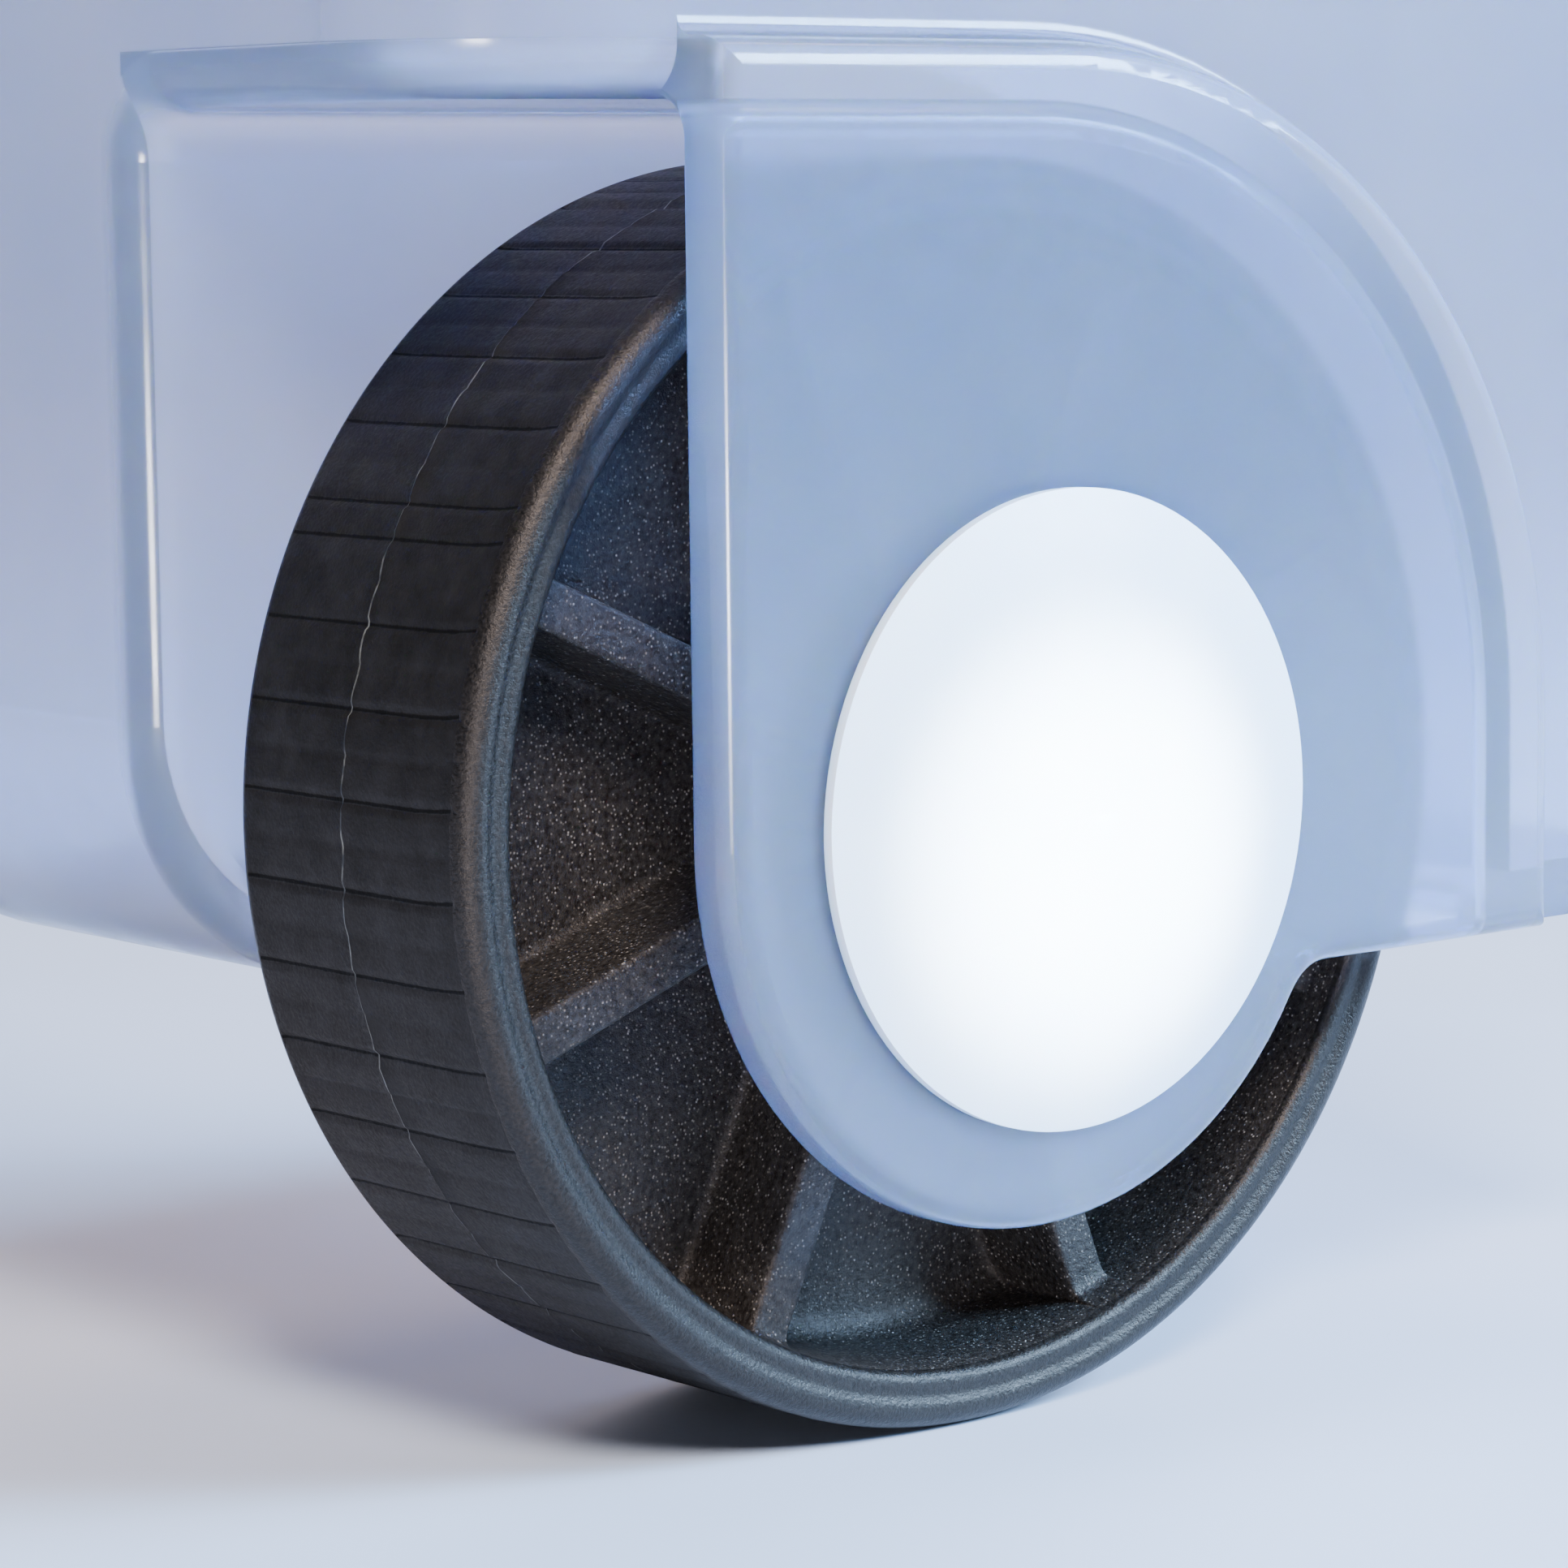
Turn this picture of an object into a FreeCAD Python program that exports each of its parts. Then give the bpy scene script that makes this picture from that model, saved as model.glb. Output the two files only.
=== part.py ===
"""Roller wheel in the moulded corner of a storage box: one wheel on a fixed axle.

Row frame: millimetres, +Z up, +Y along the axle towards the inside of the box, +X along the box's
long side. The origin is on the top face of the wheel well's roof, straight above the wheel's centre.
Every piece is drawn about the wheel's centre and then lowered by AXLE_DROP.
"""
import FreeCAD
import Part
import Sketcher
import math
import os
import re
from FreeCAD import Placement, Rotation, Vector

# Driving dimensions. Words are cells of the spreadsheet, and every size below is worked out from them.
SIZES = {
    # wheel
    "wheel_radius": 25.0,
    "wheel_width": 14.8,
    "rim_wall": 2.4,
    "rim_taper": 0.1,
    "lip_round": 0.9,
    "web_front": 0.5,
    "web_wall": 2.0,
    "web_round": 1.2,
    "rib_front": 5.2,
    "rib_width": 2.0,
    "rib_count": 8,
    "rib_angle": 155.7,
    "hub_radius": 6.0,
    "hub_half": 8.3,
    "crease_count": 47,
    "crease_depth": 0.16,
    "crease_width": 0.6,
    # axle and what holds it
    "axle_radius": 3.0,
    "axle_play": 0.05,
    "axle_stub": 0.85,
    "axle_bevel": 0.4,
    "spacer_radius": 6.0,
    "spacer_wall": 1.5,
    "spacer_gap": 0.05,
    "grip_radius": 4.6,
    "grip_wall": 0.4,
    "grip_dish": 0.25,
    "grip_bite": 0.03,
    "grip_slots": 6,
    "cap_radius": 12.35,
    "cap_edge": 0.45,
    "cap_rise": 1.95,
    "cap_wall": 0.9,
    "cap_collar": 1.3,
    "end_cap_radius": 5.15,
    "end_cap_edge": 1.2,
    "end_cap_rise": 2.0,
    "end_cap_wall": 0.8,
    "end_cap_lip": 1.0,
    # box corner
    "wall": 2.2,
    "cheek_wall": 2.4,
    "well_half": 10.1,
    "arch_x": 0.3,
    "arch_z": 1.5,
    "arch_radius": 27.7,
    "cheek_left": 16.8,
    "lobe_radius": 16.0,
    "lobe_z": -0.2,
    "lobe_bend": 2.5,
    "end_x": 27.0,
    "corner_radius": 9.5,
    "foot_radius": 11.0,
    "floor_drop": 7.5,
    "top_rise": 40.0,
    "side_reach": 40.0,
    "back_reach": 32.0,
    "cheek_round": 1.1,
    "cheek_back_round": 0.5,
    "mouth_round": 2.1,
    "inner_round": 2.0,
    "outer_round": 1.5,
    "pod_round": 0.8,
    "spare": 6.0,
}

AXLE_DROP = "arch_z + arch_radius"
SAME = 0.02  # two places closer than this are one place
CLEAR = 1.0  # two places further apart than this are surely two
FULL_TURN = 360
FAR_LEFT, FAR_LOW = "-end_x - spare", "-lobe_radius - spare"
doc = FreeCAD.newDocument("box_corner_wheel")
sheet = doc.addObject("Spreadsheet::Sheet", "Sheet")


def fill_sheet():
    for row, (word, number) in enumerate(SIZES.items(), 1):
        sheet.set(f"A{row}", word)
        sheet.set(f"B{row}", str(number))
        sheet.setAlias(f"B{row}", word)
    doc.recompute()


def cells(text):
    """The expression with every size word turned into a reference to its cell."""
    return re.sub(r"[a-z_]+", lambda m: f"Sheet.{m[0]}" if m[0] in SIZES else m[0], f"{text}")


def size(text):
    return float(sheet.evalExpression(cells(text)))


def bind(thing, **properties):
    for name, text in properties.items():
        thing.setExpression(name, cells(text))


# ---- outlines -------------------------------------------------------------------------------------

ELEVATION = Rotation(Vector(1, 0, 0), 90)
PLAN = Rotation()


def arc_between(a, b, radius):
    """The short arc from a to b. A positive radius turns left on the way, a negative one turns right."""
    chord = b - a
    lift = math.sqrt(max(radius ** 2 - (chord.Length / 2) ** 2, 0.0))
    left = Vector(-chord.y, chord.x, 0).normalize()
    side = 1 if radius > 0 else -1
    centre = (a + b) * 0.5 + left * lift * side
    ends = (a, b) if radius > 0 else (b, a)
    start, stop = (math.atan2(p.y - centre.y, p.x - centre.x) for p in ends)
    if stop < start:
        stop += 2 * math.pi
    return Part.ArcOfCircle(Part.Circle(centre, Vector(0, 0, 1), abs(radius)), start, stop)


def draw(sketch, corners):
    """A closed outline. A corner is (x, y), reached by a line, or (x, y, radius), reached by an arc."""
    points = [Vector(size(c[0]), size(c[1]), 0) for c in corners]
    radii = [size(c[2]) if len(c) == 3 else 0.0 for c in corners]
    edges = []
    for i, radius in enumerate(radii):
        a, b = points[i - 1], points[i]
        curve = arc_between(a, b, radius) if radius else Part.LineSegment(a, b)
        edges.append(sketch.addGeometry(curve))
    first = [2 if r < 0 else 1 for r in radii]
    last = [1 if r < 0 else 2 for r in radii]
    for i, edge in enumerate(edges):
        joined = Sketcher.Constraint("Coincident", edges[i - 1], last[i - 1], edge, first[i])
        sketch.addConstraint(joined)
        for kind, text in (("DistanceX", corners[i][0]), ("DistanceY", corners[i][1])):
            limit = Sketcher.Constraint(kind, -1, 1, edge, last[i], size(text))
            sketch.setExpression(f"Constraints[{sketch.addConstraint(limit)}]", cells(text))
        if radii[i]:
            limit = Sketcher.Constraint("Radius", edge, abs(radii[i]))
            text = f"abs({corners[i][2]})"
            sketch.setExpression(f"Constraints[{sketch.addConstraint(limit)}]", cells(text))
    return sketch


def slab(name, turn, corners, before, behind):
    """An outline made solid from -before to +behind along its own normal's reverse."""
    sketch = doc.addObject("Sketcher::SketchObject", f"{name}_outline")
    sketch.Placement = Placement(Vector(), turn)
    draw(sketch, corners)
    solid = doc.addObject("Part::Extrusion", name)
    solid.Base = sketch
    solid.DirMode = "Normal"
    solid.Solid = True
    bind(solid, LengthFwd=before, LengthRev=behind)
    return solid


def join(name, *parts):
    solid = doc.addObject("Part::MultiFuse", name)
    solid.Shapes = list(parts)
    solid.Refine = True
    return solid


def cut(name, base, tool):
    solid = doc.addObject("Part::Cut", name)
    solid.Base = base
    solid.Tool = tool
    solid.Refine = True
    return solid


def common(name, *parts):
    solid = doc.addObject("Part::MultiCommon", name)
    solid.Shapes = list(parts)
    return solid


def rounded(name, base, groups):
    """Base with rounded edges. A group is (radius, test), and the test picks edges by their middle."""
    doc.recompute()
    chosen = []
    for radius, test in groups:
        for i, edge in enumerate(base.Shape.Edges, 1):
            if test(edge.valueAt((edge.FirstParameter + edge.LastParameter) / 2)):
                chosen.append((i, size(radius), size(radius)))
    solid = doc.addObject("Part::Fillet", name)
    solid.Base = base
    solid.Edges = chosen
    return solid


# ---- box corner with the wheel well ----------------------------------------------------------------


def corner_block(name, inset, beyond):
    """The corner of the box as a solid block, inset from its outer faces and run beyond its cut ends."""
    left, front, low = f"-end_x + {inset}", f"-well_half + {inset}", f"-floor_drop + {inset}"
    right, back, high = f"side_reach + {beyond}", f"back_reach + {beyond}", f"top_rise + {beyond}"
    turn, foot = f"corner_radius - {inset}", f"foot_radius - {inset}"
    plan = [
        (right, front),
        (right, back),
        (left, back),
        (left, f"{front} + {turn}"),
        (f"{left} + {turn}", front, turn),
    ]
    elevation = [
        (right, low),
        (right, high),
        (left, high),
        (left, f"{low} + {foot}"),
        (f"{left} + {foot}", low, foot),
    ]
    upright = slab(f"{name}_plan", PLAN, plan, f"{high}", "floor_drop + spare")
    across = slab(f"{name}_elevation", ELEVATION, elevation, "well_half + spare", back)
    return common(name, upright, across)


def arch_outline(inset, left, low):
    right, high = f"arch_x + arch_radius - {inset}", f"arch_z + arch_radius - {inset}"
    return [
        (left, low),
        (right, low),
        (right, "arch_z"),
        ("arch_x", high, f"arch_radius - {inset}"),
        (left, high),
    ]


def cheek_outline():
    lobe_x = "lobe_radius - cheek_left"
    drop = "floor_drop + lobe_bend + lobe_z"
    run = f"sqrt((lobe_radius + lobe_bend)^2 - ({drop})^2)"
    share = "lobe_radius / (lobe_radius + lobe_bend)"
    right = "arch_x + arch_radius"
    return [
        (lobe_x, "lobe_z - lobe_radius", "lobe_radius"),
        (f"{lobe_x} + {run} * {share}", f"lobe_z - ({drop}) * {share}", "lobe_radius"),
        (f"{lobe_x} + {run}", "-floor_drop", "-lobe_bend"),
        (right, "-floor_drop"),
        (right, "arch_z"),
        ("arch_x", "arch_z + arch_radius", "arch_radius"),
        ("-cheek_left", "arch_z + arch_radius"),
        ("-cheek_left", "lobe_z"),
    ]


def drill(name, radius, start, end):
    """A round bar along the axle line, from y = start to y = end."""
    bar = doc.addObject("Part::Cylinder", name)
    bind(bar, Radius=radius, Height=f"({end}) - ({start})")
    bar.Placement = Placement(Vector(), Rotation(Vector(1, 0, 0), -90))
    bar.setExpression("Placement.Base.y", cells(start))
    return bar


def same(a, b):
    return abs(a - b) < SAME


def on_arch(m, radius, lowest):
    """Whether a point is on the well's outline: flat roof, round shoulder or straight right side."""
    reach = math.hypot(m.x - size("arch_x"), m.z - size("arch_z"))
    side = same(m.x, size("arch_x") + radius) and lowest < m.z < size("arch_z")
    flat = same(m.z, size("arch_z") + radius) and m.x < size("arch_x")
    return side or flat or (same(reach, radius) and m.z > size("arch_z"))


def well_corner(room):
    """The corner's walls and floor, with the wheel well let into it and all the well's edges rounded."""
    outer = corner_block("corner_outer", "0", "0")
    inner = corner_block("corner_inner", "wall", "spare")
    filled = arch_outline("0", FAR_LEFT, FAR_LOW)
    block = slab("well_block", ELEVATION, filled, "well_half", "well_half + wall")
    walls = common("well_walls", block, outer)
    solid = join("corner_solid", cut("corner_shell", outer, inner), walls)
    open_well = cut("corner_with_well", solid, room)
    seam, back, low = -size("well_half"), size("well_half"), -size("floor_drop")
    radius, end, turn = size("arch_radius - wall"), -size("end_x"), size("foot_radius / 2")
    roof = size("arch_z") + radius

    def on_mouth(m):
        pillar = same(m.y, back) and m.x < end + turn and m.z > low
        lip = same(m.z, roof) and m.y < back - SAME
        bend = same(m.x, end) and low < m.z < roof and m.y < back
        return pillar or lip or bend or (same(m.y, seam) and on_arch(m, radius, low))

    def on_back(m):
        return same(m.y, back) and on_arch(m, radius, low)
    corners = rounded("well_corners", open_well, [("inner_round", on_back)])
    return rounded("well_mouth", corners, [("mouth_round", on_mouth)])


def raised_cheek(room):
    """The plate outside the wheel, proud of the box, with a band behind its rim that closes the well."""
    plate = slab("cheek_plate", ELEVATION, cheek_outline(), "well_half + cheek_wall", "-well_half")
    backed = arch_outline("0", "-cheek_left", "-floor_drop")
    rim = slab("cheek_rim", ELEVATION, backed, "well_half", "wall - well_half")
    solid = join("cheek_and_band", plate, cut("cheek_band", rim, room))
    face, seam, low = -size("well_half + cheek_wall"), -size("well_half"), -size("floor_drop")
    radius, left = size("arch_radius - wall"), -size("cheek_left")
    roof, lobe = size("arch_z") + radius, size("lobe_radius - cheek_left")

    def on_inside(m):
        return same(m.y, seam) and on_arch(m, radius, low) and m.x > left + SAME

    def on_front(m):
        return same(m.y, face)

    def on_free_back(m):
        upright = same(m.x, left) and m.z < roof - CLEAR
        round_lobe = m.z < low - SAME or (m.x < lobe and m.z < 0)
        return same(m.y, seam) and (upright or round_lobe)
    inside = rounded("cheek_inside", solid, [("outer_round", on_inside)])
    front = rounded("cheek_front", inside, [("cheek_round", on_front)])
    return rounded("cheek_free", front, [("cheek_back_round", on_free_back)])


def wheel_housing():
    reach = "well_half + spare"
    hollow = arch_outline("wall", FAR_LEFT, FAR_LOW)
    room = slab("well_room", ELEVATION, hollow, reach, "well_half")
    whole = join("corner_and_cheek", well_corner(room), raised_cheek(room))
    seam, left, low = -size("well_half"), -size("cheek_left"), -size("floor_drop")

    def on_foot(m):
        return same(m.y, seam) and m.x > left and on_arch(m, size("arch_radius"), low)
    smooth = rounded("pod_foot", whole, [("pod_round", on_foot)])
    hole = drill("axle_holes", "axle_radius + axle_play", f"-({reach})", reach)
    return cut("wheel_housing", smooth, hole)


# ---- turned and moulded pieces ---------------------------------------------------------------------


def origin_part(body, role):
    return next(f for f in body.Origin.OriginFeatures if f.Role == role)


def body_sketch(body, name, plane, corners):
    sketch = body.newObject("Sketcher::SketchObject", name)
    sketch.AttachmentSupport = [(origin_part(body, plane), "")]
    sketch.MapMode = "FlatFace"
    return draw(sketch, corners)


def turned(name, section):
    """A body turned about the Y axis. The section's corners are (radius, y)."""
    body = doc.addObject("PartDesign::Body", name)
    sketch = body_sketch(body, f"{name}_section", "XY_Plane", section)
    turn = body.newObject("PartDesign::Revolution", f"{name}_turned")
    turn.Profile = sketch
    turn.ReferenceAxis = (sketch, ["V_Axis"])
    turn.Angle = FULL_TURN
    return body


def around(body, feature, count):
    """The feature repeated evenly about the Y axis."""
    ring = body.newObject("PartDesign::PolarPattern", f"{feature.Name}_ring")
    ring.Originals = [feature]
    ring.Axis = (origin_part(body, "Y_Axis"), [""])
    ring.Angle = FULL_TURN
    bind(ring, Occurrences=count)
    body.Tip = ring
    return ring


def wheel():
    half, bore, edge = "wheel_width / 2", "axle_radius + axle_play", "lip_round / 2"
    mouth = "wheel_radius - rim_wall"
    root = f"{mouth} - rim_taper"
    web_back = "web_wall - web_front"
    section = [
        (bore, "-hub_half"),
        ("hub_radius", "-hub_half"),
        ("hub_radius", "-web_front - web_round"),
        ("hub_radius + web_round", "-web_front", "-web_round"),
        (f"{root} - web_round", "-web_front"),
        (root, "-web_front - web_round", "-web_round"),
        (mouth, f"-{half} + {edge}"),
        (f"{mouth} + {edge}", f"-{half}", edge),
        ("wheel_radius - lip_round", f"-{half}"),
        ("wheel_radius", f"-{half} + lip_round", "lip_round"),
        ("wheel_radius", f"{half} - lip_round"),
        ("wheel_radius - lip_round", half, "lip_round"),
        (f"{mouth} + {edge}", half),
        (mouth, f"{half} - {edge}", edge),
        (root, f"{web_back} + web_round"),
        (f"{root} - web_round", web_back, "-web_round"),
        ("hub_radius + web_round", web_back),
        ("hub_radius", f"{web_back} + web_round", "-web_round"),
        ("hub_radius", "hub_half"),
        (bore, "hub_half"),
    ]
    body = turned("wheel", section)
    near, far, side = "hub_radius - rim_wall / 2", f"{root} + rim_wall / 2", "rib_width / 2"
    outline = [(near, f"-{side}"), (far, f"-{side}"), (far, side), (near, side)]
    rib = body.newObject("PartDesign::Pad", "rib")
    rib.Profile = body_sketch(body, "rib_outline", "XZ_Plane", outline)
    rib.Midplane = True
    bind(rib, Length="rib_front * 2")
    around(body, rib, "rib_count")
    top, spread = "wheel_radius + crease_depth", "crease_width"
    outline = [("wheel_radius - crease_depth", "0"), (top, f"-{spread}"), (top, spread)]
    crease = body.newObject("PartDesign::Pocket", "crease")
    crease.Profile = body_sketch(body, "crease_outline", "XZ_Plane", outline)
    crease.Midplane = True
    bind(crease, Length="wheel_width * 2")
    around(body, crease, "crease_count")
    return body


def axle_rod():
    outer, inner = "-well_half - cheek_wall - axle_stub", "well_half + wall + axle_stub"
    section = [
        ("0", outer),
        ("axle_radius - axle_bevel", outer),
        ("axle_radius", f"{outer} + axle_bevel"),
        ("axle_radius", f"{inner} - axle_bevel"),
        ("axle_radius - axle_bevel", inner),
        ("0", inner),
    ]
    return turned("axle_rod", section)


def spacer(name):
    bore = "axle_radius + axle_play"
    section = [
        (bore, "0"),
        ("spacer_radius", "0"),
        ("spacer_radius", "spacer_wall"),
        (bore, "spacer_wall"),
    ]
    return turned(name, section)


def grip_washer(name):
    """A spring-steel washer whose dished teeth bite on the axle, so it slides on and not off."""
    bore, fold = "axle_radius - grip_bite", "(axle_radius + grip_radius) / 2"
    section = [
        ("grip_radius", "0"),
        (fold, "0"),
        (bore, "-grip_dish"),
        (bore, "-grip_dish - grip_wall"),
        (fold, "-grip_wall"),
        ("grip_radius", "-grip_wall"),
    ]
    body = turned(name, section)
    side = "grip_wall"
    outline = [("0", f"-{side}"), (fold, f"-{side}"), (fold, side), ("0", side)]
    slot = body.newObject("PartDesign::Pocket", f"{name}_slot")
    slot.Profile = body_sketch(body, f"{name}_slot_outline", "XZ_Plane", outline)
    slot.Midplane = True
    bind(slot, Length="grip_radius")
    around(body, slot, "grip_slots")
    return body


def cap(name):
    """A low dome, hollow under its middle, with a collar that snaps round the grip washer."""
    rise = "(cap_rise - cap_edge)"
    dome = f"((cap_radius^2 + {rise}^2) / (2 * {rise}))"
    hollow = f"({dome} - cap_wall)"
    deep = "(cap_rise - cap_wall)"
    near, far = "(grip_radius + axle_play)", "(grip_radius + axle_play + cap_collar)"

    def ceiling(radius):
        return f"-{deep} + {hollow} - sqrt({hollow}^2 - {radius}^2)"
    section = [
        ("0", "-cap_rise"),
        ("cap_radius", "-cap_edge", dome),
        ("cap_radius", "0"),
        (f"sqrt({hollow}^2 - ({hollow} - {deep})^2)", "0"),
        (far, ceiling(far), f"-{hollow}"),
        (far, "0"),
        (near, "0"),
        (near, ceiling(near)),
        ("0", f"-{deep}", f"-{hollow}"),
    ]
    return turned(name, section)


def end_cap(name):
    """A small closed cap over the axle's inner end, just clear of the box's floor."""
    near, deep = "grip_radius + axle_play", "end_cap_rise - end_cap_wall"
    rise = "(end_cap_rise - end_cap_edge)"
    dome = f"((end_cap_radius^2 + {rise}^2) / (2 * {rise}))"
    section = [
        ("0", "-end_cap_rise"),
        ("end_cap_radius", "-end_cap_edge", dome),
        ("end_cap_radius", "0"),
        (near, "0"),
        (near, "-end_cap_lip"),
        ("axle_radius", f"-({deep})"),
        ("0", f"-({deep})"),
    ]
    return turned(name, section)


# ---- assembly --------------------------------------------------------------------------------------

OUTWARD = Rotation()
INWARD = Rotation(Vector(0, 0, 1), 180)


def place(piece, label, y="0", turn=OUTWARD):
    piece.Label = label
    piece.Placement = Placement(Vector(), turn)
    bind(piece, **{".Placement.Base.y": y, ".Placement.Base.z": f"-({AXLE_DROP})"})
    return piece


def build():
    outside, inside = "-well_half - cheek_wall", "well_half + wall"
    spun = Rotation(Vector(0, 1, 0), -size("rib_angle"))
    return [
        place(wheel_housing(), "wheel_housing"),
        place(wheel(), "wheel", turn=spun),
        place(axle_rod(), "axle_rod"),
        place(spacer("outer_ring"), "outer_spacer", "-well_half + spacer_gap"),
        place(spacer("inner_ring"), "inner_spacer", "well_half - spacer_gap", INWARD),
        place(grip_washer("outer_grip"), "outer_grip_washer", outside),
        place(grip_washer("inner_grip"), "inner_grip_washer", inside, INWARD),
        place(cap("outer_dome"), "outer_cap", outside),
        place(end_cap("inner_dome"), "inner_cap", inside, INWARD),
    ]


def check(pieces):
    failed = [o.Name for o in doc.Objects if {"Invalid", "Error"} & set(o.State)]
    failed += [p.Label for p in pieces if p.Shape.isNull() or not p.Shape.isValid()]
    if failed:
        raise RuntimeError(f"these objects failed: {failed}")


def save(pieces):
    os.makedirs("parts", exist_ok=True)
    for piece in pieces:
        piece.Shape.exportStep(os.path.join("parts", f"{piece.Label}.step"))
        box = piece.Shape.BoundBox
        low = f"{box.XMin:.2f} {box.YMin:.2f} {box.ZMin:.2f}"
        high = f"{box.XMax:.2f} {box.YMax:.2f} {box.ZMax:.2f}"
        print(f"{piece.Label:20s} {piece.Shape.Volume:10.1f} mm3  from {low}  to {high}")


fill_sheet()
pieces = build()
doc.recompute()
check(pieces)
save(pieces)
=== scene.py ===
"""Looks of a storage box's roller wheel: milky box corner, black ribbed wheel and white cap."""
import math

import bpy
import numpy as np
from mathutils import Matrix, Vector


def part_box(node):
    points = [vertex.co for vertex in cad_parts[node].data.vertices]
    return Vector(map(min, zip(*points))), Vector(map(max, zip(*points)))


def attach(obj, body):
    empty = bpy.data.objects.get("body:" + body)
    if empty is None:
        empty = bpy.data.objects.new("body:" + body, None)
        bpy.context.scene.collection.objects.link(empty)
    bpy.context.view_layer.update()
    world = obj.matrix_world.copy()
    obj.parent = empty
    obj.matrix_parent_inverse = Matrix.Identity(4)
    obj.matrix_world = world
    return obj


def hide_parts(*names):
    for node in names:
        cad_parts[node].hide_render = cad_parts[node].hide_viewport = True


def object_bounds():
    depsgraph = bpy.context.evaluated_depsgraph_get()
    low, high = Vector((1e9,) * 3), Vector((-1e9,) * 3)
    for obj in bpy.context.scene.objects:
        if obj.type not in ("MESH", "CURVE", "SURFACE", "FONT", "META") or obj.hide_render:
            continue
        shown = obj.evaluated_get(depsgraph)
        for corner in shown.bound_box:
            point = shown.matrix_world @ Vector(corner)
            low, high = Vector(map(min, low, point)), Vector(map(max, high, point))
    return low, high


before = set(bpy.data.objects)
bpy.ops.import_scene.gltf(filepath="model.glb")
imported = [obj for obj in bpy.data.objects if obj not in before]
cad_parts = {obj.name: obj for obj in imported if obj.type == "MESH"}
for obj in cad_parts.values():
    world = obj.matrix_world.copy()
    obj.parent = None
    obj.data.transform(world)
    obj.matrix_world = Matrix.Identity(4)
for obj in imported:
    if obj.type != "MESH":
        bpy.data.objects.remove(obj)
CAD_BOX = [list(corner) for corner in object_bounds()]
MM = 0.001
WHEEL_LOW, WHEEL_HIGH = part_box("wheel")
CENTRE = Vector((0, 0, (WHEEL_LOW.z + WHEEL_HIGH.z) / 2))
FLOOR_Z = CAD_BOX[0][2]
WARM_SHEEN = (1.0, 0.82, 0.70, 1)  # tint of the black plastic's sheen
CREASE_SHADE_HALF = 0.028  # half the width of the painted shade line in a crease, as a share of the way to the next crease
TURN_NAME = "crease_turn"  # the mesh attribute that counts the creases


# ---- materials --------------------------------------------------------------------------------------


class Nodes:
    """A material's node tree, with short ways to add and join nodes."""

    def __init__(self, name):
        self.material = bpy.data.materials.new(name)
        self.material.use_nodes = True
        self.tree = self.material.node_tree
        self.shader = self.tree.nodes["Principled BSDF"]
        self.place = self.add("ShaderNodeTexCoord").outputs["Object"]

    def add(self, kind, **settings):
        node = self.tree.nodes.new(kind)
        for name, value in settings.items():
            setattr(node, name, value)
        return node

    def join(self, source, target):
        self.tree.links.new(source, target)

    def feed(self, socket, source, *stops):
        """Drives one of the shader's sockets by a ramp over a source."""
        self.join(self.ramp(source, *stops), self.shader.inputs[socket])

    def fixed(self, **sockets):
        """Sets the Principled shader's sockets, named with underscores for spaces."""
        for name, value in sockets.items():
            self.shader.inputs[name.replace("_", " ")].default_value = value

    def noise(self, size_mm, detail=2.0, rough=0.5, stretch=(1, 1, 1)):
        """Noise whose features are about size_mm across, from 0 to 1."""
        mapping = self.add("ShaderNodeMapping")
        mapping.inputs["Scale"].default_value = stretch
        self.join(self.place, mapping.inputs["Vector"])
        node = self.add("ShaderNodeTexNoise")
        node.inputs["Scale"].default_value = 1 / (size_mm * MM)
        node.inputs["Detail"].default_value = detail
        node.inputs["Roughness"].default_value = rough
        self.join(mapping.outputs["Vector"], node.inputs["Vector"])
        return node.outputs["Fac"]

    def cells(self, size_mm):
        """Distance from the nearest of scattered points, about size_mm apart."""
        node = self.add("ShaderNodeTexVoronoi")
        node.inputs["Scale"].default_value = 1 / (size_mm * MM)
        self.join(self.place, node.inputs["Vector"])
        return node.outputs["Distance"], node.outputs["Color"]

    def ramp(self, source, *stops):
        """A ramp of (place, colour or number) stops."""
        node = self.add("ShaderNodeValToRGB")
        elements = node.color_ramp.elements
        while len(elements) < len(stops):
            elements.new(0.5)
        for element, (place, value) in zip(elements, stops):
            element.position = place
            grey = isinstance(value, (int, float))
            element.color = (value, value, value, 1) if grey else (*value, 1)
        self.join(source, node.inputs["Fac"])
        return node.outputs["Color"]

    def maths(self, operation, a, b):
        node = self.add("ShaderNodeMath", operation=operation)
        for socket, value in zip(node.inputs, (a, b)):
            if isinstance(value, (int, float)):
                socket.default_value = value
            else:
                self.join(value, socket)
        return node.outputs[0]

    def mix(self, factor, a, b):
        node = self.add("ShaderNodeMix", data_type="RGBA")
        for socket, value in zip((node.inputs[0], node.inputs[6], node.inputs[7]), (factor, a, b)):
            if isinstance(value, (int, float)):
                socket.default_value = value
            elif isinstance(value, tuple):
                socket.default_value = (*value, 1)
            else:
                self.join(value, socket)
        return node.outputs[2]

    def bump(self, *layers):
        """Stacks bumps of (height socket, depth in mm)."""
        normal = None
        for height, depth in layers:
            node = self.add("ShaderNodeBump")
            node.inputs["Distance"].default_value = depth * MM
            self.join(height, node.inputs["Height"])
            if normal:
                self.join(normal, node.inputs["Normal"])
            normal = node.outputs["Normal"]
        self.join(normal, self.shader.inputs["Normal"])


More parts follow.
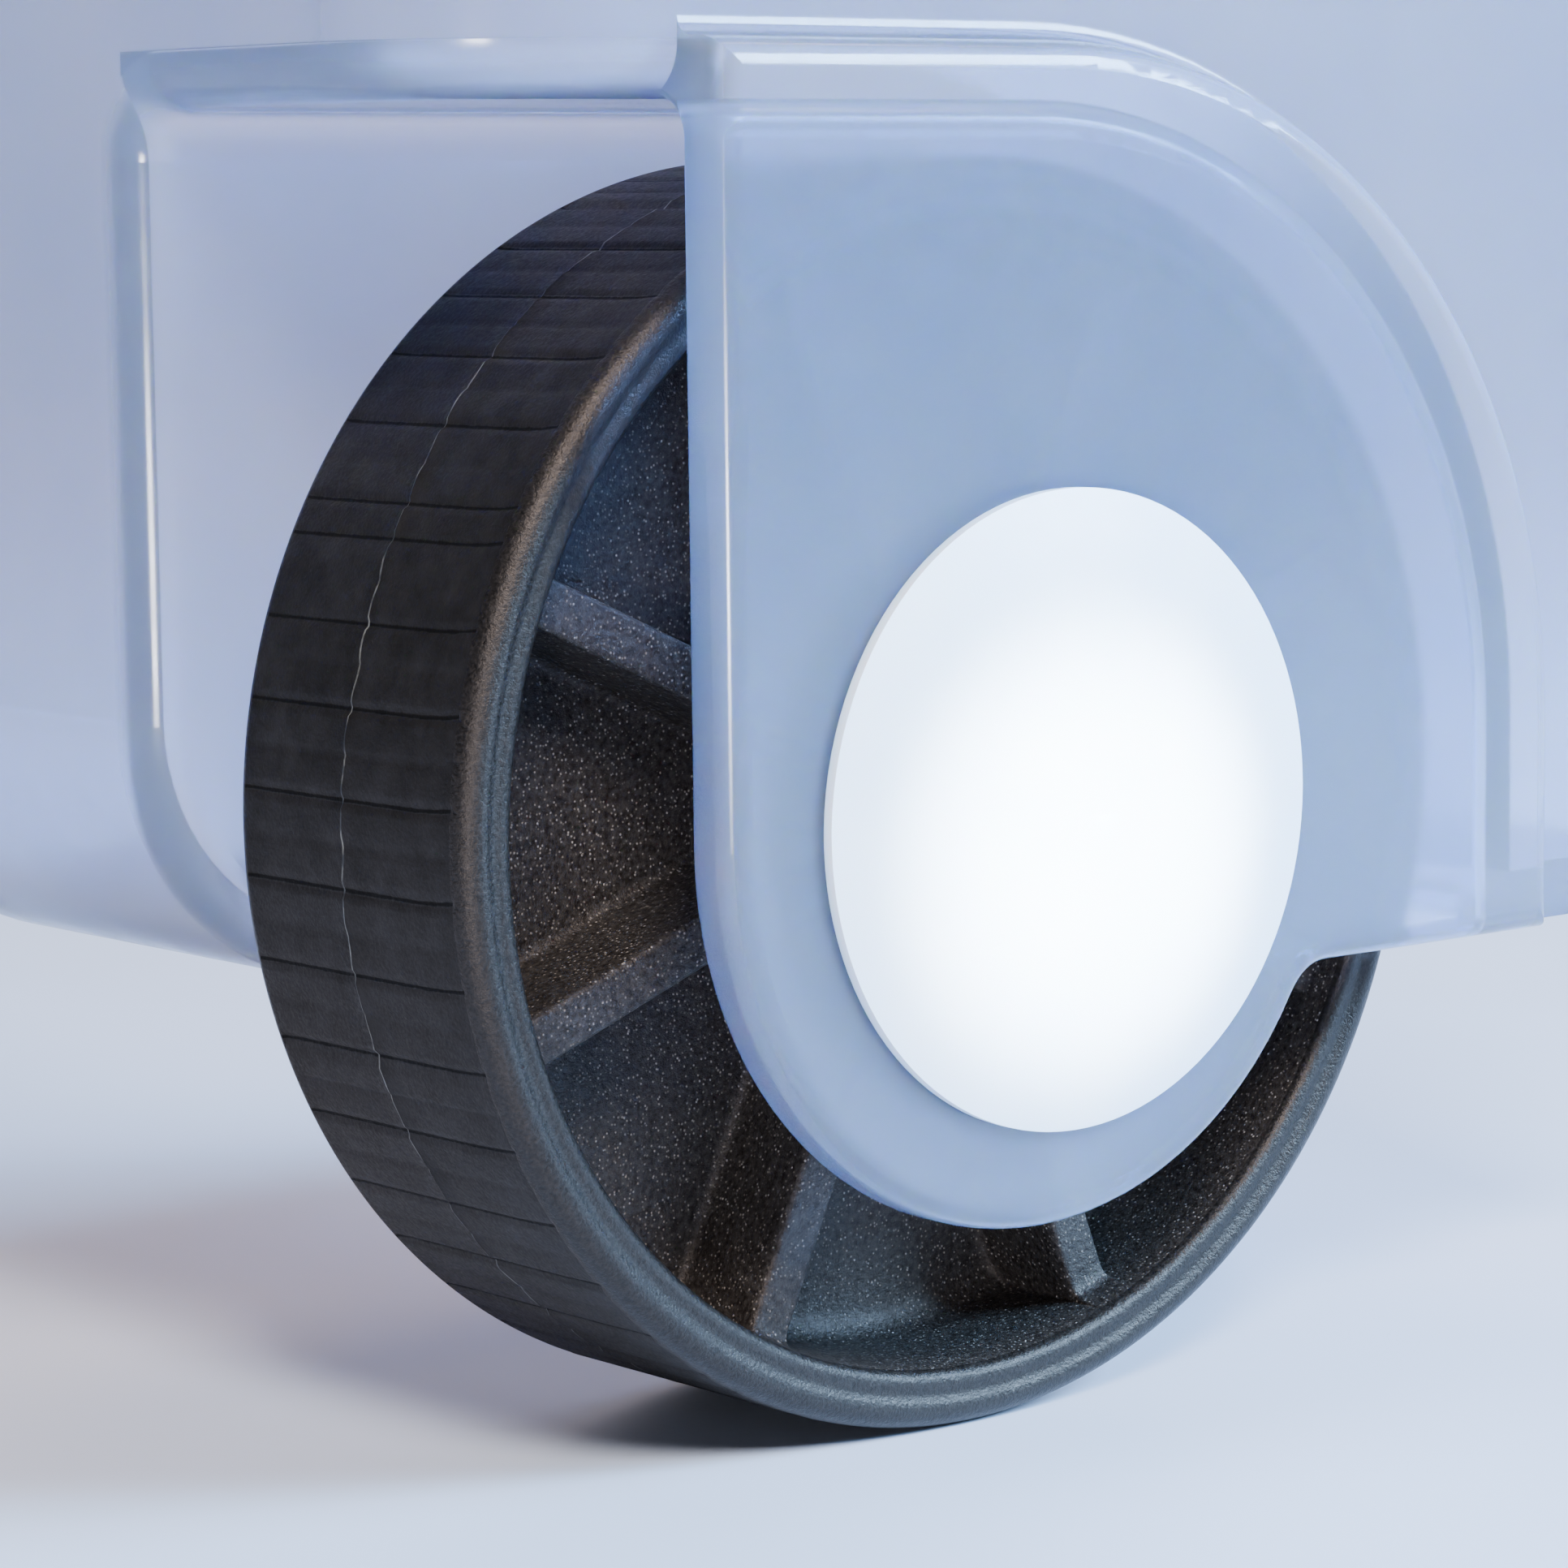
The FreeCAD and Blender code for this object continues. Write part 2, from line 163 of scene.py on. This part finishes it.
def milky_plastic():
    """Thin natural polypropylene: it glows blue where it is backed by something dark."""
    n = Nodes("milky_plastic")
    n.feed("Base Color", n.noise(9, 3), (0.3, (0.50, 0.63, 1.0)), (0.7, (0.56, 0.68, 1.0)))
    n.feed("Roughness", n.noise(2.5, 3), (0.35, 0.14), (0.7, 0.20))
    n.fixed(IOR=1.42, Transmission_Weight=0.89, Subsurface_Weight=1.0, Subsurface_Scale=1 * MM)
    n.fixed(Subsurface_Radius=(7.0, 4.0, 0.8))
    n.bump((n.noise(7, 2), 0.02))
    return n.material


def black_tread():
    """Worn black polypropylene, with a painted shade line at the bottom of each crease."""
    n = Nodes("black_tread")
    grain = n.noise(0.16, 3, 0.6)
    turn = n.add("ShaderNodeAttribute", attribute_name=TURN_NAME).outputs["Fac"]
    place = n.maths("FRACT", n.maths("ADD", turn, 0.5), 0)
    away = n.maths("ABSOLUTE", n.maths("SUBTRACT", place, 0.5), 0)
    ragged = n.maths("MULTIPLY", n.maths("SUBTRACT", n.noise(0.5, 3), 0.5), 0.03)
    away = n.maths("ADD", away, ragged)
    # painted shade: along each crease's bottom the base colour goes nearly black
    line = n.ramp(away, (0.0, 0.25), (CREASE_SHADE_HALF * 0.4, 0.25), (CREASE_SHADE_HALF, 1.0))
    tone = n.ramp(n.noise(1.4, 4, 0.6), (0.3, (0.003, 0.003, 0.003)), (0.75, (0.011, 0.0105, 0.011)))
    n.join(n.mix(line, (0.003, 0.003, 0.003), tone), n.shader.inputs["Base Color"])
    n.feed("Roughness", grain, (0.3, 0.48), (0.7, 0.66))
    # painted shade: the specular level drops along the crease bottoms too
    n.join(n.maths("MULTIPLY", line, 0.25), n.shader.inputs["Specular IOR Level"])
    n.fixed(Specular_Tint=WARM_SHEEN)
    n.bump((grain, 0.025), (n.noise(0.9, 2), 0.04), (line, 0.03))
    return n.material


def black_grain_glints():
    """Spark-eroded grain, with painted glints: lighter dots where grain tips would catch the light."""
    n = Nodes("black_grain_glints")
    distance, tint = n.cells(0.21)
    patch = n.ramp(n.noise(0.5, 3, 0.6), (0.40, 0.25), (0.62, 1.0))
    # painted glints: pale warm dots at scattered cells, in patches, over the dark grain
    glint_tips = n.maths("MULTIPLY", n.ramp(distance, (0.0, 1.0), (0.30, 0.0)), patch)
    glint_colour = n.mix(tint, (0.16, 0.12, 0.085), (0.58, 0.51, 0.45))
    base = n.ramp(n.noise(0.22, 3, 0.6), (0.35, (0.004, 0.003, 0.003)), (0.7, (0.030, 0.026, 0.023)))
    n.join(n.mix(glint_tips, base, glint_colour), n.shader.inputs["Base Color"])
    n.feed("Roughness", n.noise(0.4, 2), (0.3, 0.40), (0.7, 0.58))
    n.fixed(Specular_IOR_Level=0.35, Specular_Tint=WARM_SHEEN)
    n.bump((n.noise(0.2, 3, 0.7), 0.08), (glint_tips, 0.04))
    return n.material


def black_lip():
    """The wheel's rim edge, smoother than its recess."""
    n = Nodes("black_lip")
    grain = n.noise(0.15, 3, 0.65)
    n.feed("Base Color", grain, (0.35, (0.002, 0.002, 0.002)), (0.7, (0.015, 0.013, 0.012)))
    n.feed("Roughness", n.noise(0.3, 3), (0.3, 0.33), (0.7, 0.46))
    n.fixed(Specular_IOR_Level=0.30, Specular_Tint=WARM_SHEEN)
    n.bump((grain, 0.045), (n.noise(1.6, 2), 0.05))
    return n.material


def pale_flash():
    """The thin sliver of plastic left along the mould's parting line, pale in places."""
    n = Nodes("pale_flash")
    n.feed("Base Color", n.noise(1.1, 4, 0.65), (0.42, (0.010, 0.010, 0.010)), (0.62, (0.13, 0.125, 0.105)))
    n.feed("Roughness", n.noise(0.2, 2), (0.3, 0.3), (0.7, 0.5))
    return n.material


def white_cap():
    """Satin white plastic with a slightly uneven surface."""
    n = Nodes("white_cap")
    n.feed("Base Color", n.noise(5, 3), (0.3, (0.70, 0.80, 0.88)), (0.7, (0.76, 0.84, 0.90)))
    n.feed("Roughness", n.noise(0.8, 3), (0.3, 0.30), (0.7, 0.42))
    n.fixed(IOR=1.5, Subsurface_Weight=0.4, Subsurface_Scale=1 * MM)
    n.bump((n.noise(0.3, 2), 0.004), (n.noise(4, 2), 0.03))
    return n.material


def metal(name, colour, rough, stretch):
    """Steel, whose noise is drawn out into lines along an axis where stretch is small."""
    n = Nodes(name)
    lines = n.noise(0.25, 4, 0.6, stretch)
    dark = tuple(c * 0.8 for c in colour)
    n.feed("Base Color", lines, (0.3, dark), (0.7, colour))
    n.feed("Roughness", lines, (0.3, rough - 0.08), (0.7, rough + 0.08))
    n.fixed(Metallic=1.0)
    n.bump((lines, 0.004))
    return n.material


def nylon():
    """Natural nylon of the spacers."""
    n = Nodes("nylon")
    n.feed("Base Color", n.noise(2, 3), (0.3, (0.74, 0.73, 0.68)), (0.7, (0.82, 0.81, 0.77)))
    n.feed("Roughness", n.noise(0.5, 2), (0.3, 0.38), (0.7, 0.5))
    n.fixed(Subsurface_Weight=0.3, Subsurface_Scale=1 * MM)
    n.bump((n.noise(0.3, 2), 0.005))
    return n.material


def floor_paint():
    """The studio's pale floor and backdrop."""
    n = Nodes("floor_paint")
    n.feed("Base Color", n.noise(60, 2), (0.3, (0.54, 0.60, 0.72)), (0.7, (0.58, 0.63, 0.74)))
    n.feed("Roughness", n.noise(20, 3), (0.3, 0.36), (0.7, 0.44))
    return n.material


# ---- wheel ------------------------------------------------------------------------------------------
# Sizes in millimetres about the wheel's centre: radius from the axle, depth along it.

TREAD = 24.93        # radius of the tread between its creases
RIM_HALF = 7.4       # half the rim's width
RIM_IN = 22.6        # radius of the rim's inner wall at its mouth
RIM_ROOT = 22.5      # the same at the web
HUB = 6.0            # radius of the hub
HUB_HALF = 8.3       # half the hub's length
HUB_ROUND = 0.25     # round of the hub's outer edge
BORE = 3.05          # radius of the axle's hole
BORE_BEVEL = 0.2     # bevel at the mouth of that hole
WEB_FRONT = 0.5      # depth of the web's outer face
WEB_BACK = 1.5       # the same of its inner face
WEB_ROUND = 1.2      # fillet where the web meets hub and rim
RIB_TOP = 5.2        # depth of the ribs' tops
RIB_ROUND = 0.55     # fillet where the ribs' tops meet hub and rim
RIB_COUNT = 8
RIB_ANGLE = math.radians(155.7)
LIP_OUT = 0.95       # round of the rim's outer edge
LIP_IN = 0.5         # round of its inner ridge
LIP_STEP = 0.1       # how far the inner ridge lies below the outer one
LIP_DIP = 0.13       # depth of the valley between them
POCKET_STEPS = 45    # columns from a rib's foot to the middle of the pocket
FIELD_ROWS = 8       # rows between the fillets at hub and rim
FIELD_GAPS = (2.5, 2.4)  # from the hub and from the rim to the nearest of those rows
# Distances of the fillets' rows from the hub or the rim.
FILLET_STEPS = (0.0, 0.04, 0.15, 0.32, 0.55, 0.85, 1.2)

# Half a rib's section as (distance from its middle, share of its height).
RIB_SECTION = [(0.0, 1.0), (0.45, 1.0), (0.72, 1.0), (0.86, 0.995), (0.94, 0.975), (0.985, 0.94),
               (1.0, 0.90), (1.05, 0.10), (1.1, 0.045), (1.25, 0.01), (1.5, 0.0)]

# The creases are in two evenly spaced series, which don't line up with each other.
PITCH = math.radians(360 / 47)
LOWER_CREASE = math.radians(184.35)
UPPER_CREASE = math.radians(150.3)
LOWER_START = LOWER_CREASE - 4.2 * PITCH
LOWER_END = LOWER_CREASE + 19.3 * PITCH
CREASE_DEPTH = 0.17
CREASE_HALF = 0.28   # half the width of a crease
BEND_START = 4.0     # depth where the creases start to bend, towards the outer edge
BEND_ANGLE = 0.012   # how far they have bent at that edge, in radians
CREASE_FADE = 1.5    # width over which the creases fade out at each edge
SAG = 0.05           # how far the tread sinks midway between creases
SCRATCH_DEPTH = 0.025  # depth of a fine scratch midway between creases
SCRATCH_HALF = 0.16  # half its width

# The flash runs round the tread near its middle.
FLASH_Y = 0.25       # its depth, on average
FLASH_HALF = 0.10    # half its width
FLASH_RISE = 0.045   # how far it stands up at most
FLASH_ROWS = slice(8, 10)  # its rows among the tread's rows


def wheel_columns():
    """For one rib's sector: each column's side, whether it is in the rib or the gap, and its step there."""
    half = [("rib", i) for i in range(1, len(RIB_SECTION))]
    half += [("gap", i) for i in range(1, POCKET_STEPS + 1)]
    left = [(-1, *c) for c in reversed(half[:-1])]
    return left + [(1, "rib", 0)] + [(1, *c) for c in half]


def column_angles(radius, columns):
    """Each column's angle from its rib's middle at a radius, so that columns follow the rib's sides."""
    edge = math.asin(RIB_SECTION[-1][0] / radius)
    sector = math.pi / RIB_COUNT
    angles = []
    for side, kind, i in columns:
        if kind == "rib":
            angle = math.asin(RIB_SECTION[i][0] / radius)
        else:
            angle = edge + (sector - edge) * i / POCKET_STEPS
        angles.append(side * angle)
    return np.array(angles)


def all_round(values, turn=False):
    """One sector's values repeated for every rib, turned round the wheel if they are angles."""
    steps = [2 * math.pi * k / RIB_COUNT + RIB_ANGLE if turn else 0.0 for k in range(RIB_COUNT)]
    return np.concatenate([values + step for step in steps])


def quarter(radius, distance):
    """How far a fillet has risen, when distance is how far it still is from its wall."""
    reach = np.clip(radius - distance, 0, radius)
    return radius - np.sqrt(radius ** 2 - reach ** 2)


def field_height(radius, web, rise):
    """Height of the recessed face at a radius, with rise the rib's share, above the wheel's middle plane."""
    to_rim = RIM_ROOT - radius
    to_hub = radius - HUB
    pocket = web + quarter(WEB_ROUND, to_rim) + quarter(WEB_ROUND, to_hub)
    rib = RIB_TOP + quarter(RIB_ROUND, to_rim) + quarter(RIB_ROUND, to_hub)
    return pocket + (rib - pocket) * rise


def face_rows(web, columns, rise):
    """Rows from the hub's bore out to the rim's mouth as (radii, heights, angles), heights positive."""
    hub_angles = all_round(column_angles(HUB, columns), True)
    rim_angles = all_round(column_angles(RIM_ROOT, columns), True)
    flat = np.ones_like(rise)
    corner = 0.28 * HUB_ROUND
    hub_edge = HUB_HALF - HUB_ROUND
    profile = [
        (BORE, HUB_HALF - BORE_BEVEL),
        (BORE + BORE_BEVEL, HUB_HALF),
        (HUB - HUB_ROUND, HUB_HALF),
        (HUB - corner, HUB_HALF - corner),
        (HUB, hub_edge),
    ]
    rows = [(flat * radius, flat * height, hub_angles) for radius, height in profile]
    rows.append((flat * HUB, (field_height(HUB, web, rise) + hub_edge) / 2, hub_angles))
    radii = [HUB + step for step in FILLET_STEPS]
    radii += list(np.linspace(HUB + FIELD_GAPS[0], RIM_ROOT - FIELD_GAPS[1], FIELD_ROWS))
    radii += [RIM_ROOT - step for step in reversed(FILLET_STEPS)]
    for radius in radii:
        angles = all_round(column_angles(radius, columns), True)
        rows.append((flat * radius, field_height(radius, web, rise), angles))
    mouth = RIM_HALF - LIP_STEP - LIP_IN
    foot = field_height(RIM_ROOT, web, rise)
    for t in (0.33, 0.67):
        rows.append((flat * (RIM_ROOT + (RIM_IN - RIM_ROOT) * t), foot + (mouth - foot) * t, rim_angles))
    return rows, rim_angles


def lip_rows(flat, angles):
    """The rim's face: a small inner ridge, a shallow dip and the big outer round, as far as the tread."""
    ridge_steps = 4
    round_steps = 8
    ridge = RIM_HALF - LIP_STEP
    points = []
    for k in range(ridge_steps + 1):
        turn = math.pi / 2 * k / ridge_steps
        points.append((RIM_IN + LIP_IN * (1 - math.cos(turn)), ridge - LIP_IN * (1 - math.sin(turn))))
    start = RIM_IN + LIP_IN
    stop = TREAD - LIP_OUT
    for t in (0.2, 0.4, 0.6, 0.8):
        dip = LIP_DIP * math.sin(math.pi * t) ** 2
        points.append((start + (stop - start) * t, RIM_HALF - LIP_STEP * (1 - t) - dip))
    for k in range(round_steps):
        turn = math.pi / 2 * k / round_steps
        points.append((stop + LIP_OUT * math.sin(turn), RIM_HALF - LIP_OUT * (1 - math.cos(turn))))
    return [(flat * r, flat * y, angles) for r, y in points]


def waves(angle, *terms):
    """A sum of (amplitude, whole number of waves round the wheel, start angle)."""
    return sum(a * np.sin(n * angle + start) for a, n, start in terms)


def crease_turn(angle, depth):
    """Each point's angle counted in creases, a whole number at the bottom of each one."""
    bend = BEND_ANGLE * np.clip((-depth - BEND_START) / (RIM_HALF - BEND_START), 0, 1) ** 2
    wander = waves(angle, (0.0025, 11, 0.3), (0.0015, 26, 1.1))
    angle = (angle + bend + wander) % (2 * math.pi)
    lower = (angle > LOWER_START) & (angle < LOWER_END)
    return (angle - np.where(lower, LOWER_CREASE, UPPER_CREASE)) / PITCH


def crease_drop(angle, depth):
    """How far the tread lies below its full radius at each angle and one depth along the axle."""
    place = (crease_turn(angle, depth) + 0.5) % 1.0 - 0.5
    land = PITCH * TREAD
    away = np.abs(place) * land
    strength = 0.8 + waves(angle, (0.2, 13, 0.4), (0.15, 29, 2.0))
    groove = CREASE_DEPTH * strength * np.clip(1 - away / CREASE_HALF, 0, 1) ** 0.8
    from_middle = land / 2 - away
    scratch = SCRATCH_DEPTH * np.clip(1 - from_middle / SCRATCH_HALF, 0, 1)
    sag = SAG * (2 * np.abs(place)) ** 4
    return groove + sag + scratch


def flash(angle):
    """Where the parting flash runs along the axle and how far it stands up."""
    run = FLASH_Y + waves(angle, (0.10, 6, 0.2), (0.05, 23, 1.3), (0.04, 47, 0.0), (0.03, 90, 2.2))
    top = np.clip(0.5 + waves(angle, (0.35, 5, 2.4), (0.35, 17, 0.9), (0.3, 41, 0.2)), 0, 1)
    return run, FLASH_RISE * top


def tread_plan():
    """The tread's rows from front to back as (depth, how far it follows the flash, share of its rise)."""
    edge = RIM_HALF - LIP_OUT
    plan = [(depth, 0, 0) for depth in (-edge, -5.4, -4.2, -3.0, -1.9)]
    plan.append((-1.0, 0.4, 0))
    section = ((0, 0), (0.5, 0.6), (1, 1), (1.5, 0.5), (2, 0))
    plan += [(FLASH_HALF * place, 1, share) for place, share in section]
    plan.append((1.3, 0.4, 0))
    plan += [(depth, 0, 0) for depth in (2.3, 3.4, 4.6, 5.6, edge)]
    return plan


def tread_rows(angles):
    """Rows across the tread, with the creases fading out towards its edges."""
    run, top = flash(angles)
    rows = []
    for depth, follow, share in tread_plan():
        y = depth + (run - FLASH_HALF) * follow
        fade = min(1.0, (RIM_HALF - abs(depth)) / CREASE_FADE)
        rows.append((TREAD - crease_drop(angles, depth) * fade + top * share, y, angles))
    return rows


def wheel_rows():
    """The whole wheel as closed rings, outer face first, each as (radii, depths, angles, material)."""
    columns = wheel_columns()
    shares = [RIB_SECTION[i][1] if kind == "rib" else 0.0 for _, kind, i in columns]
    rise = all_round(np.array(shares))
    front, rim_angles = face_rows(WEB_FRONT, columns, rise)
    back, _ = face_rows(WEB_BACK, columns, rise)
    lip = lip_rows(np.ones_like(rise), rim_angles)
    tread = tread_rows(rim_angles)
    groups = [
        (front, -1, "grain"),
        (lip, -1, "lip"),
        (tread[:FLASH_ROWS.start], 1, "tread"),
        (tread[FLASH_ROWS], 1, "flash"),
        (tread[FLASH_ROWS.stop:], 1, "tread"),
        (reversed(lip), 1, "lip"),
        (reversed(back), 1, "grain"),
    ]
    return [(radius, y * side, angle, kind) for group, side, kind in groups for radius, y, angle in group]


def build_wheel(materials):
    """One closed mesh over the rings, with a material for each kind of surface."""
    rows = wheel_rows()
    count = len(rows[0][0])
    order = list(materials)
    points = []
    faces = []
    slots = []
    for i, (radius, y, angle, kind) in enumerate(rows):
        ring = np.stack([radius * np.cos(angle), y, radius * np.sin(angle)], axis=1)
        points.append(ring * MM + np.array(CENTRE))
        here = i * count
        following = (i + 1) % len(rows) * count
        for j in range(count):
            k = (j + 1) % count
            faces.append((here + j, here + k, following + k, following + j))
            slots.append(order.index(kind))
    mesh = bpy.data.meshes.new("wheel_body")
    mesh.from_pydata(np.concatenate(points).tolist(), [], faces)
    for material in materials.values():
        mesh.materials.append(material)
    turns = mesh.attributes.new(TURN_NAME, "FLOAT", "POINT")
    turns.data.foreach_set("value", np.concatenate([crease_turn(angle, y) for _, y, angle, _ in rows]))
    mesh.polygons.foreach_set("material_index", slots)
    mesh.polygons.foreach_set("use_smooth", [True] * len(faces))
    mesh.validate()
    piece = bpy.data.objects.new("wheel_body", mesh)
    bpy.context.scene.collection.objects.link(piece)
    return piece


# ---- stage ------------------------------------------------------------------------------------------

# The camera looks along VIEW from VIEW_FROM, which is in millimetres from the wheel's centre.
VIEW = Vector((0.63883, 0.76031, -0.11762))
VIEW_FROM = Vector((-129.95, -150.23, 23.52))
VIEW_ROLL = math.radians(-0.673)
FOCAL_LENGTH = 114.28

# The floor and backdrop, in metres.
FLOOR_REACH = 1.3    # from the middle to the near edge and to the backdrop
FLOOR_HALF = 1.6     # half the floor's width
BACKDROP_HEIGHT = 1.2
BACKDROP_SPOT = Vector((0.75, 0.90, 0.05))  # where the backdrop's light is aimed

CAP_SPOT_ANGLE = math.radians(3.1)


def place_lamp(lamp, place, target, power, colour):
    """Puts a lamp in the scene, shining from a place towards a target, in metres and watts."""
    lamp.energy = power
    lamp.color = colour
    thing = bpy.data.objects.new(lamp.name, lamp)
    thing.location = place
    thing.rotation_euler = (target - place).to_track_quat("-Z", "Y").to_euler()
    bpy.context.scene.collection.objects.link(thing)


def area_light(name, place, target, size, power, colour):
    """A rectangular soft light."""
    lamp = bpy.data.lights.new(name, "AREA")
    lamp.shape = "RECTANGLE"
    lamp.size = size[0]
    lamp.size_y = size[1]
    place_lamp(lamp, place, target, power, colour)


def cap_light():
    """A narrow spot that brightens the middle of the cap."""
    low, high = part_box("outer_cap")
    middle = Vector((0, low.y, (low.z + high.z) / 2 - 1.5 * MM))
    lamp = bpy.data.lights.new("cap_spot", "SPOT")
    lamp.spot_size = CAP_SPOT_ANGLE
    lamp.spot_blend = 1.0
    lamp.shadow_soft_size = 1 * MM
    place_lamp(lamp, middle + Vector((0.04, -0.40, -0.02)), middle, 75.0, (1, 1, 1))


def build_floor():
    """A level floor that turns up into a backdrop behind the object."""
    middle = Vector((0, 0, FLOOR_Z))
    ahead = Vector((0.64, 0.77, 0)) * FLOOR_REACH
    along = Vector((0.77, -0.64, 0)) * FLOOR_HALF
    rise = Vector((0, 0, BACKDROP_HEIGHT))
    near = [middle - ahead - along, middle - ahead + along]
    far = [middle + ahead + along, middle + ahead - along]
    top = [corner + rise for corner in far]
    mesh = bpy.data.meshes.new("floor")
    mesh.from_pydata([tuple(corner) for corner in near + far + top], [], [(0, 1, 2, 3), (3, 2, 4, 5)])
    mesh.materials.append(floor_paint())
    floor = bpy.data.objects.new("floor", mesh)
    bpy.context.scene.collection.objects.link(floor)


def build_lights():
    """A dim lavender room, a bluish key at the right, a small light at the left and a warm backdrop."""
    world = bpy.data.worlds.new("studio")
    world.use_nodes = True
    world.node_tree.nodes["Background"].inputs["Color"].default_value = (0.10, 0.10, 0.12, 1)
    bpy.context.scene.world = world
    key_place = CENTRE + Vector((0.26, -0.27, 0.20))
    top_place = CENTRE + Vector((-0.20, -0.36, 0.36))
    back_place = Vector((0.40, 0.48, 0.8))
    catch_place = CENTRE + Vector((-0.25, -0.21, -0.015))
    area_light("key_light", key_place, CENTRE, (0.20, 0.18), 11.5, (0.38, 0.64, 1.0))
    area_light("top_light", top_place, CENTRE, (0.14, 0.14), 5.5, (1.0, 0.95, 0.95))
    area_light("back_light", back_place, BACKDROP_SPOT, (0.8, 0.8), 14.0, (1.0, 0.72, 0.58))
    area_light("catch_light", catch_place, CENTRE, (0.05, 0.03), 0.7, (0.95, 0.95, 1.0))
    cap_light()


def build_camera():
    """A long lens close to the wheel's height, a little to its left."""
    forward = VIEW.normalized()
    level = forward.cross(Vector((0, 0, 1))).normalized()
    upward = level.cross(forward)
    right = level * math.cos(VIEW_ROLL) + upward * math.sin(VIEW_ROLL)
    up = right.cross(forward)
    basis = Matrix((right, up, -forward)).transposed().to_4x4()
    lens = bpy.data.cameras.new("camera")
    lens.lens = FOCAL_LENGTH
    lens.sensor_width = 36.0
    lens.clip_start = 0.01
    lens.clip_end = 20.0
    camera = bpy.data.objects.new("camera", lens)
    camera.matrix_world = Matrix.Translation(CENTRE + VIEW_FROM * MM) @ basis
    bpy.context.scene.collection.objects.link(camera)
    bpy.context.scene.camera = camera


# ---- assembly ---------------------------------------------------------------------------------------


def dress(node, material):
    """Gives a CAD node its material."""
    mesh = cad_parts[node].data
    mesh.materials.clear()
    mesh.materials.append(material)


build_camera()
build_floor()
build_lights()

tread = black_tread()
white = white_cap()
plain_nylon = nylon()
spring = metal("spring_steel", (0.46, 0.47, 0.50), 0.34, (1, 1, 1))
steel = metal("axle_steel", (0.62, 0.63, 0.66), 0.26, (1, 0.05, 1))
for node, material in (
    ("wheel_housing", milky_plastic()),
    ("outer_cap", white),
    ("inner_cap", white),
    ("outer_spacer", plain_nylon),
    ("inner_spacer", plain_nylon),
    ("outer_grip_washer", spring),
    ("inner_grip_washer", spring),
    ("axle_rod", steel),
    ("wheel", tread),
):
    dress(node, material)

wheel = build_wheel({"tread": tread, "lip": black_lip(), "grain": black_grain_glints(), "flash": pale_flash()})
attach(wheel, "roller")
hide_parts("wheel")
